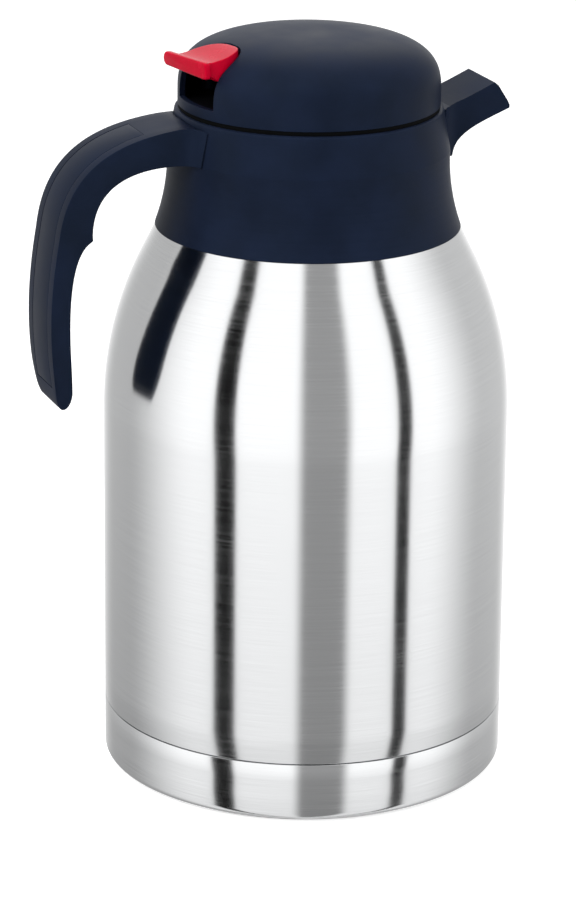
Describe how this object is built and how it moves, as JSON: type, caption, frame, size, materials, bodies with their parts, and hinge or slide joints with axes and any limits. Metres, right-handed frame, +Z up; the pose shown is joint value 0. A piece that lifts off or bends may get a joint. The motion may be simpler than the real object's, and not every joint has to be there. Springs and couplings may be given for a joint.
{
  "type": "insulated jug with press-lever lid",
  "caption": "Double-walled steel serving jug with moulded collar and spout, side handle, and screw-in domed lid whose thumb lever lifts a sprung valve.",
  "frame": {"origin": "centre of the foot pad's underside, on the floor at the body's axis", "axes": "+Z up along the body's axis, +X towards the pouring spout, -X towards the handle"},
  "size_m": [0.1784, 0.1504, 0.2781],
  "materials": {
    "steel": "satin, brushed round the body",
    "liner_steel": "dull pickled sheet",
    "solder": "matte",
    "foot_rubber": "matte",
    "black_plastic": "fine matte grain, blue-black",
    "black_plastic_strip": "fine matte grain, blue-black",
    "grey_plastic": "smooth moulded",
    "white_plastic": "smooth moulded",
    "red_plastic": "glossy",
    "silicone": "soft, milky",
    "gasket_rubber": "soft matte",
    "screw_steel": "plain",
    "spring_steel": "plain"
  },
  "bodies": {
    "jug": {"outer_shell": "steel", "inner_liner": "liner_steel", "liner_floor": "liner_steel", "liner_shoulder": "liner_steel", "liner_neck": "liner_steel", "shell_bottom": "liner_steel", "vacuum_plug": "solder", "base_cap": "steel", "base_pad": "foot_rubber", "collar": "black_plastic", "throat_ring": "grey_plastic", "neck_gasket": "silicone", "neck_lock_ring": "spring_steel", "handle": "black_plastic", "handle_strip": "black_plastic_strip", "handle_screws": "screw_steel"},
    "rim_seal": {"lid_gasket": "gasket_rubber"},
    "lid": {"lid_dome": "black_plastic", "lid_plate": "grey_plastic", "stopper_body": "grey_plastic", "stopper_cage": "grey_plastic", "valve_seat": "grey_plastic", "stopper_gasket": "silicone", "lid_screws": "screw_steel", "lever_pin": "screw_steel", "valve_spring": "spring_steel"},
    "lever": {"thumb_lever": "red_plastic"},
    "valve": {"valve_stem": "white_plastic", "valve_plate": "grey_plastic", "valve_seal": "silicone", "valve_nut": "screw_steel", "stem_cap": "grey_plastic"}
  },
  "joints": [
    {"name": "lid_rise", "type": "slide", "parent": "jug", "child": "rim_seal", "axis": [0, 0, 1], "range_m": [0, 0.04501]},
    {"name": "lid_turn", "type": "hinge", "parent": "rim_seal", "child": "lid", "pos_m": [0, 0, 0.2526], "axis": [0, 0, 1], "range_deg": [0, 1080]},
    {"name": "lever_press", "type": "hinge", "parent": "lid", "child": "lever", "pos_m": [-0.02184, -0.00268, 0.26699], "axis": [0.1219, -0.9925, 0], "range_deg": [0, 12], "stiffness_Nm_per_rad": 0.7, "springref_deg": -8.59},
    {"name": "valve_lift", "type": "slide", "parent": "lid", "child": "valve", "axis": [0, 0, 1], "range_m": [0, 0.0046], "deforming": ["valve_spring"]}
  ],
  "couplings": [
    {"joint": "lid_rise", "follows": "lid_turn", "m_per_rad": 0.0023873},
    {"joint": "lever_press", "follows": "valve_lift", "rad_per_m": 45.455}
  ]
}
